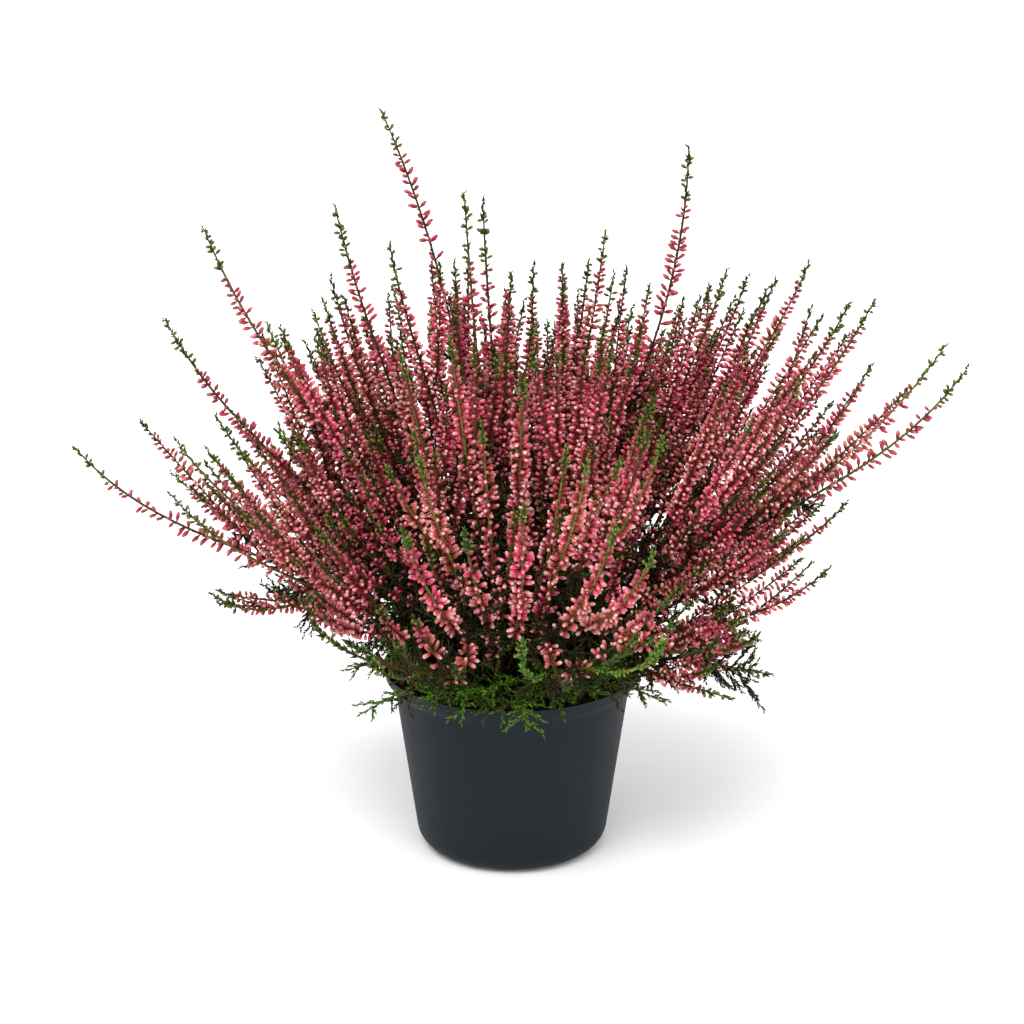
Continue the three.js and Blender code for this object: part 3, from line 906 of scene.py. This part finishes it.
def makeBarkFinish():
    nodes, place = startMaterial("heatherBark")
    fromTip = nodes.attribute("fromTip")
    grain = nodes.noise(place, 700, 4, 0.6)
    patch = nodes.noise(place, 60, 3, 0.6)
    age = nodes.range(fromTip, 0, barkTones["length"], 0, 1)
    age = nodes.math("ADD", age, nodes.range(patch, 0.3, 0.7, -0.12, 0.12))
    colour = nodes.ramp(age, barkTones["places"], barkTones["colours"])
    between = nodes.math("MULTIPLY", nodes.range(fromTip, 6, 18, 0, 1), nodes.range(fromTip, 45, 110, 1, 0))
    bright = nodes.range(nodes.attribute("shootTone"), 0.65, 1.0, 0, 0.85)
    colour = nodes.mix(nodes.math("MULTIPLY", bright, between), colour, barkTones["straw"])
    colour = nodes.mix(nodes.range(grain, 0.35, 0.7, 0, 0.35), colour, barkTones["cracks"])
    rough, relief = nodes.range(grain, 0, 1, 0.55, 0.85), nodes.bump(grain, 0.4 * mm, 0.7)
    return nodes.surface(colour, rough, relief, barkTones["gloss"])


leafTones = {
    # from the darkest leaf to the brightest, at the leaf's foot and at its point; the darkest, red-brown
    # tones are old brown foliage together with painted shade for the shoots darkened inside the plant
    "places": (0.1, 0.26, 0.44, 0.68, 1.0),
    "foot": ((20, 6, 3), (17, 12, 4), (46, 30, 12), (38, 70, 14), (76, 140, 24)),
    "point": ((32, 12, 6), (28, 24, 8), (88, 64, 30), (74, 112, 28), (142, 200, 52)),
    "mottle": (22, 26, 9),
    "gloss": 0.15,
}


def makeLeafFinish():
    nodes, place = startMaterial("heatherGreen")
    mottle = nodes.noise(place, 500, 3, 0.55)
    # a shoot's tone carries its own random tone and the painted shade given to low and inner shoots
    share = nodes.blend(nodes.attribute("leafTone"), 0.3, nodes.attribute("shootTone"), 0.7, clamp=True)
    foot, point = (nodes.ramp(share, leafTones["places"], leafTones[name]) for name in ("foot", "point"))
    colour = nodes.mix(nodes.attribute("alongLeaf"), foot, point)
    colour = nodes.mix(nodes.range(mottle, 0.35, 0.75, 0, 0.35), colour, leafTones["mottle"])
    rough, relief = nodes.range(mottle, 0, 1, 0.42, 0.66), nodes.bump(mottle, 0.3 * mm, 0.5)
    return nodes.surface(colour, rough, relief, leafTones["gloss"])


growTree = makeGrowTree()
budForm = makeBud()
leafForm = makeLeaf()
petalFinish = makePetalFinish()
barkFinish = makeBarkFinish()
leafFinish = makeLeafFinish()


def grow(lines, name, node, seed):
    piece = applyTree(lines.asObject(name), growTree, {
        "Stem step": 8 * mm, "Stem sides": 3,
        "Bud": budForm, "Bud step": raceme["budStep"] * mm,
        "Bud lean low": deg(raceme["lean"][0]), "Bud lean high": deg(raceme["lean"][1]),
        "Leaf": leafForm, "Leaf step": raceme["leafStep"] * mm,
        "Seed": seed, "Bark": barkFinish, "Petals": petalFinish, "Green": leafFinish}, name)
    # the finishes use the rest
    for extra in ("stemRadius", "budSize", "budChance", "leafSize", "leafChance"):
        piece.data.attributes.remove(piece.data.attributes[extra])
    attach(piece, "root")
    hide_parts(node)
    return sum(len(face.vertices) - 2 for face in piece.data.polygons)


# flowering sprays: the shoots of the solids, with short racemes and green branchlets along them

spray = {
    "frontFrom": -50,  # a tip nearer than this is in front
    "hangsBelow": 110,  # a leading tip this low hangs, in flower all the way
    "lowBelow": 135,  # a side shoot in front this low gets painted shade, darker buds, and a shorter green tip
    # height of the lowest flowers, its rise outwards and how far they thin out low down
    "bloomInFront": (98, 0.6, 0.35),
    "bloomElsewhere": (84, 0, 0.82),
    # where shoots turn thin, by reach at the left and the right and by height, and over how much
    "thinLeft": (122, 45),
    "thinRight": (150, 60),
    "thinHigh": (280, 30),
    "tones": (0.4, 0.85),
    "frontTones": ((0.5, 0.75), (0.75, 1.0)),  # up to 150 high, darker as painted shade, and above
    # painted shade: the low racemes under the mass are given darker tones
    "lowTones": (0.2, 0.6),
    "sideFrom": (0.2, 0.09),  # where the first side shoot leaves, and the step to the next
    "shortRacemes": (6, 3, 5),  # on a leading shoot, on a side shoot, and more where it leans
    "shortLength": (55, 105),
    "shortAngle": (10, 35),
    "lowRacemes": 2,  # rise from near the foot of a leading shoot
    "lowReach": (62, 104),
    "lowHeight": (196, 132),  # at the least and at the most reach
    "branchlets": (12, 4, 3),  # on a leading shoot, a side shoot and a low raceme
    "branchletLength": (12, 26),
    "branchletTone": (0.1, 0.55),
    "paintedShadeAbove": (96, 16),  # painted shade: branchlets inside the flowering mass darken above this height, over so much
    "seed": 41,
}


def outerShare(row):
    # 1 on the thin shoots that reach far out or high up, 0 in the mass
    reach, over = spray["thinLeft"] if row[0] < 0 else spray["thinRight"]
    height, rise = spray["thinHigh"]
    return clamp(max((math.hypot(row[0], row[1]) - reach) / over, (row[2] - height) / rise))


def sideways(tangent, rng, rise=1):
    # any direction square to the shoot
    return unit(np.cross(tangent, [rng.uniform(-1, 1), rng.uniform(-1, 1), rng.uniform(-rise, rise)]))


def addShortRacemes(lines, route, count, thin, rng, flowers):
    for k in range(count):
        along = 0.2 + (0.4 - 0.1 * thin) * (k + rng.random()) / count
        tangent = route.tangent(along)
        side = sideways(tangent, rng, 0.3)
        if side[2] < 0:
            side = -side * np.array([1, 1, rng.uniform(0.4, 1)])  # most rise from the upper side
        side = unit(side - tangent * side.dot(tangent))
        angle = deg(rng.uniform(*spray["shortAngle"]))
        leaving = tangent * math.cos(angle) + side * math.sin(angle)
        length = rng.uniform(*spray["shortLength"]) * (1 - 0.12 * thin)
        length = min(length, (1 - along) * route.length * 0.86)
        ending = unit(leaving + tangent * 0.5 + up * 0.45)
        twig = bentRoute(route.point(along), leaving, ending, length, 0.5)
        addRaceme(lines, twig, 0.16, rng, tone=rng.uniform(*flowers["tones"]) * 0.8, thin=0.3 * thin,
                  stem=(0.6, 0.42), bloomFrom=flowers["from"], greenTip=7, bloom=flowers["size"])


def addBranchlets(lines, route, count, rng, low, high):
    height, over = spray["paintedShadeAbove"]
    for k in range(count):
        along = low + (high - low) * (k + rng.random()) / count
        tangent = route.tangent(along)
        side = sideways(tangent, rng)
        leaving = unit(tangent * 0.6 + side * 0.8)
        start = route.point(along)
        length = rng.uniform(*spray["branchletLength"])
        # painted shade: a branchlet that starts inside the flowering mass is given a darker tone
        tone = rng.uniform(*spray["branchletTone"]) * (1 - 0.75 * clamp((start[2] - height) / over))
        sprig = addSprig(lines, start, leaving, length, rng, tone)
        for turn in (-1, 1):
            at = sprig.point(rng.uniform(0.25, 0.6))
            fork = unit(sprig.tangent(0.4) + turn * 0.8 * unit(np.cross(sprig.tangent(0.4), side)))
            addSprig(lines, at, fork, length * rng.uniform(0.35, 0.6), rng, tone)


def addLowRacemes(lines, lead, rng, bloomFrom):
    tip = lead.point(1)
    for k in range(spray["lowRacemes"]):
        azimuth = math.atan2(tip[1], tip[0]) + deg(rng.uniform(8, 38)) * (1 if k % 2 else -1)
        share = rng.random()
        reach, height = (a + (b - a) * share for a, b in (spray["lowReach"], spray["lowHeight"]))
        end = [reach * math.cos(azimuth), reach * math.sin(azimuth), height + rng.uniform(-12, 12)]
        low = sideRoute(lead, rng.uniform(0.03, 0.12), end, 35, 0.3)
        # painted shade: low racemes under the mass get a darker tone
        addRaceme(lines, low, 0.34, rng, tone=rng.uniform(*spray["lowTones"]), stem=(0.7, 0.45),
                  bloomFrom=bloomFrom)
        addBranchlets(lines, low, spray["branchlets"][2], rng, 0.08, 0.5)


def addLeadingShoot(lines, lead, row, rng, front, flowers):
    lean, thin, hangs = leanOf(row), outerShare(row), row[2] < spray["hangsBelow"]
    firstBud = 0.1 if front else 0.38 - 0.13 * min(1, lean / deg(50))
    more = round(spray["shortRacemes"][2] * min(1, lean / deg(40)))
    branchlets, branchletsTo = spray["branchlets"][0], 0.58
    if hangs:
        thin, firstBud, branchlets, branchletsTo = 0.6, 0.5, 3 * branchlets, 0.85
    if front:
        more = max(0, round((abs(row[0]) - 30) / 20)) - 5
    addRaceme(lines, lead, firstBud, rng, tone=rng.uniform(*flowers["tones"]), thin=thin, rooted=True,
              bloomFrom=flowers["from"], bloom=flowers["size"])
    addShortRacemes(lines, lead, spray["shortRacemes"][0] + more - round(thin), thin, rng, flowers)
    addBranchlets(lines, lead, branchlets, rng, 0.04, branchletsTo)


def addSideShoot(lines, side, row, rng, front, flowers):
    thin, low = outerShare(row), front and row[2] < spray["lowBelow"]
    # painted shade: a low side shoot in front is given a darker tone
    addRaceme(lines, side, 0.22, rng, tone=rng.uniform(*flowers["tones"]) * (0.6 if low else 1), thin=thin,
              stem=(0.8, plant["stemTop"]), bloomFrom=flowers["from"], greenTip=5 if low else 14,
              bloom=flowers["size"])
    fewer = 3 * int(front) + round(thin)
    addShortRacemes(lines, side, spray["shortRacemes"][1] - fewer, thin, rng, flowers)
    addBranchlets(lines, side, spray["branchlets"][1], rng, 0.05, 0.35)


def makeSprays():
    triangles = 0
    for n, rows in enumerate(sprayTips + ringTips()):
        rng = random.Random(spray["seed"] * 100 + n)
        lines = Lines()
        front = rows[0][1] < spray["frontFrom"]
        flowers = {"from": spray["bloomElsewhere"], "tones": spray["tones"], "size": raceme["small"]}
        if front:
            # painted shade: the lower front sprays are given darker tones
            tones = spray["frontTones"][rows[0][2] > 150]
            flowers = {"from": spray["bloomInFront"], "tones": tones, "size": raceme["large"]}
        if rows[0][2] < spray["hangsBelow"]:
            flowers["from"] = (0, 0, 0)
        lead = leadingRoute(rows[0])
        addLeadingShoot(lines, lead, rows[0], rng, front, flowers)
        if not front:
            addLowRacemes(lines, lead, rng, flowers["from"])
        for k, row in enumerate(rows[1:]):
            along = spray["sideFrom"][0] + spray["sideFrom"][1] * k
            side = sideRoute(lead, along, row, plant["forkAngle"])
            addSideShoot(lines, side, row, rng, front, flowers)
        name = f"flowering_spray_{n + 1:02d}"
        triangles += grow(lines, name, f"spray_{n + 1:02d}", 100 + n)
    return triangles


print("sprays grown, triangles:", makeSprays())


# low green shoots: a leafy stem over the rim, and a tuft of finer ones round its foot

skirt = {
    "tone": (0.7, 1.0),
    "sideShoots": (5, 0.35, 0.12),  # of the leafy stem: how many, the place of the first and the step
    "sideLength": (8, 15),
    "fan": (-16, 16),  # the tuft's spread round the pot, in degrees
    "tuft": 13,  # fine shoots to each leafy stem
    "tuftTone": (-0.35, 0.2),  # next to the stem's
    "foot": (40, 53),  # how far out they stand
    "reach": (54, 66),
    "height": (93, 112),
    "inFront": (232, 298),  # between these angles, this share hangs over the rim
    "hanging": 0.6,
    "hangingReach": (63, 72),
    "hangingHeight": (84, 96),
    "inner": 6,  # dark ones that close over the compost, their near-black tone painted shade
    "innerFoot": (8, 38),
    "innerReach": (4, 18),
    "innerHeight": (98, 146),
    "innerShadeTone": 0.1,
    "forks": (4, 0.35, 0.13),  # of a fine shoot
    "forkLength": (6, 11),
    "seed": 5,
}


def addTuftShoot(lines, azimuth, foot, reach, height, rng, tone):
    # up out of the compost, over the rim and down again
    outward = direction(azimuth, math.pi / 2)
    start = outward * foot + up * (plant["soilHeight"] - 3)
    tip = direction(azimuth + deg(rng.uniform(-9, 9)), math.pi / 2) * reach + up * height
    crest = rng.uniform(12, 22)
    route = Route(start, start + up * crest, tip - outward * 0.3 * (reach - foot) + up * 0.6 * crest, tip)
    addLeafy(lines, route, 9, (0.46, 0.22), (0.95, 0.3), rising(np.linspace(0, 1, 9), 0, 0.25), tone)
    count, first, step = skirt["forks"]
    for k in range(count):
        along = first + step * k + rng.uniform(-0.05, 0.05)
        tangent = route.tangent(along)
        side = unit(np.cross(tangent, up)) * (1 if k % 2 else -1)
        fork = unit(tangent + 0.9 * side + up * rng.uniform(-0.4, 0.3))
        addSprig(lines, route.point(along), fork, rng.uniform(*skirt["forkLength"]), rng, tone, droop=0.5)


def addLeafyStem(lines, route, rng, tone):
    addLeafy(lines, route, 14, (0.85, 0.55), (1.05, 0.4), np.full(14, 0.9), tone, (0.9, 10))
    count, first, step = skirt["sideShoots"]
    for k in range(count):
        along = first + step * k
        side = unit(np.cross(route.tangent(along), up)) * (1 if k % 2 else -1)
        leaving = unit(route.tangent(along) * 0.8 + side * 0.8)
        addSprig(lines, route.point(along), leaving, rng.uniform(*skirt["sideLength"]), rng, tone, droop=0.8)


def makeSkirt():
    triangles = 0
    for k in range(plant["leafyShoots"]):
        rng = random.Random(skirt["seed"] * 100 + k)
        lines = Lines()
        route = leafyRoute(k)
        bright = rng.uniform(*skirt["tone"])
        addLeafyStem(lines, route, rng, bright)
        middle = (k + 0.5) * 2 * math.pi / plant["leafyShoots"]
        for _ in range(skirt["tuft"]):
            azimuth = middle + deg(rng.uniform(*skirt["fan"]))
            reach, height = skirt["reach"], skirt["height"]
            first, last = skirt["inFront"]
            if first < math.degrees(azimuth) < last and rng.random() < skirt["hanging"]:
                reach, height = skirt["hangingReach"], skirt["hangingHeight"]
            addTuftShoot(lines, azimuth, rng.uniform(*skirt["foot"]), rng.uniform(*reach),
                         rng.uniform(*height), rng, clamp(bright + rng.uniform(*skirt["tuftTone"])))
        for _ in range(skirt["inner"]):
            azimuth = middle + deg(rng.uniform(*skirt["fan"]))
            foot = rng.uniform(*skirt["innerFoot"])
            # painted shade: near-black shoots over the compost
            addTuftShoot(lines, azimuth, foot, foot + rng.uniform(*skirt["innerReach"]),
                         rng.uniform(*skirt["innerHeight"]), rng, skirt["innerShadeTone"])
        name = f"green_skirt_{k + 1:02d}"
        triangles += grow(lines, name, f"leafy_shoot_{k + 1:02d}", 300 + k)
    return triangles


print("green skirt grown, triangles:", makeSkirt())
for form in (budForm, leafForm):
    bpy.data.objects.remove(form)
